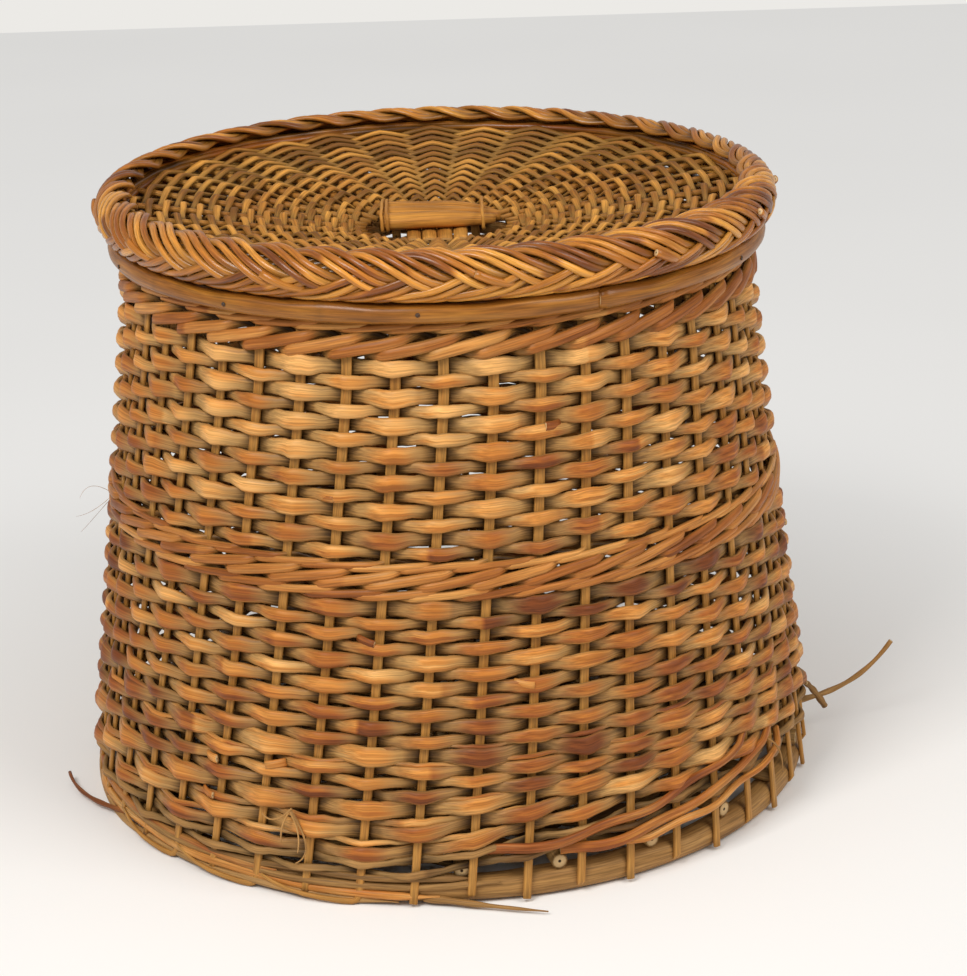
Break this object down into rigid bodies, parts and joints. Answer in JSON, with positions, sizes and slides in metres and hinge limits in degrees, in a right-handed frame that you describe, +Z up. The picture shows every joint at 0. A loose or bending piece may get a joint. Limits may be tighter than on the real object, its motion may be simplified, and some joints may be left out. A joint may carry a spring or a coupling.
{
  "type": "laundry hamper",
  "caption": "Large round woven willow laundry hamper with tapering wall, nailed rim hoop and a loose dished lid edged with a thick plait.",
  "frame": {"origin": "on the floor, at the centre of the foot hoop's underside", "axes": "+Z up along the basket's axis of revolution; -Y to the front, the side that faces the viewer; +X to the viewer's right"},
  "size_m": [0.7942, 0.6622, 0.543],
  "materials": {
    "willow_stake": "satin, split and shaved willow, tan",
    "willow_weaver": "semi-gloss, peeled willow rod, orange brown",
    "willow_wale": "semi-gloss, peeled willow rod, orange brown",
    "cane_hoop": "semi-gloss, whole cane, golden brown",
    "nail_steel": "dull, dark cut nails",
    "base_willow": "dull, willow sticks and rods, grey brown",
    "border_willow": "glossy, peeled willow rods, golden orange",
    "lid_weave": "satin, split willow, olive brown",
    "lid_stick": "satin, willow sticks, brown"
  },
  "bodies": {
    "hamper": {"foot_hoop": "cane_hoop", "base_spokes": "base_willow", "base_slath_sticks": "base_willow", "base_cross_sticks": "base_willow", "base_weavers": "base_willow", "plain_stakes": "willow_stake", "hooked_stakes": "willow_stake", "weaver_row_01": "willow_weaver", "weaver_row_02": "willow_weaver", "weaver_row_03": "willow_weaver", "weaver_row_04": "willow_weaver", "weaver_row_05": "willow_weaver", "weaver_row_06": "willow_weaver", "weaver_row_07": "willow_weaver", "weaver_row_08": "willow_weaver", "weaver_row_09": "willow_weaver", "weaver_row_10": "willow_weaver", "weaver_row_11": "willow_weaver", "weaver_row_12": "willow_weaver", "weaver_row_13": "willow_weaver", "weaver_row_14": "willow_weaver", "weaver_row_15": "willow_weaver", "weaver_row_16": "willow_weaver", "weaver_row_17": "willow_weaver", "weaver_row_18": "willow_weaver", "mid_wale": "willow_wale", "weaver_row_19": "willow_weaver", "weaver_row_20": "willow_weaver", "weaver_row_21": "willow_weaver", "weaver_row_22": "willow_weaver", "weaver_row_23": "willow_weaver", "weaver_row_24": "willow_weaver", "weaver_row_25": "willow_weaver", "weaver_row_26": "willow_weaver", "weaver_row_27": "willow_weaver", "weaver_row_28": "willow_weaver", "weaver_row_29": "willow_weaver", "weaver_row_30": "willow_weaver", "weaver_row_31": "willow_weaver", "weaver_row_32": "willow_weaver", "top_wale": "willow_wale", "rim_hoop": "cane_hoop", "rim_lining": "cane_hoop", "rim_nails": "nail_steel", "loose_rods": "willow_weaver"},
    "lid": {"lid_slath_sticks": "lid_stick", "lid_cross_sticks": "lid_stick", "lid_bindings": "lid_stick", "lid_spokes": "lid_stick", "lid_weaver_1": "lid_weave", "lid_weaver_2": "lid_weave", "lid_weaver_3": "lid_weave", "lid_weaver_4": "lid_weave", "lid_weaver_5": "lid_weave", "lid_weaver_6": "lid_weave", "border_strand_1": "border_willow", "border_strand_2": "border_willow", "border_strand_3": "border_willow"}
  },
  "joints": [
    {"name": "lid_lift", "type": "slide", "parent": "hamper", "child": "lid", "axis": [0, 0, 1], "range_m": [0, 0.25]}
  ]
}
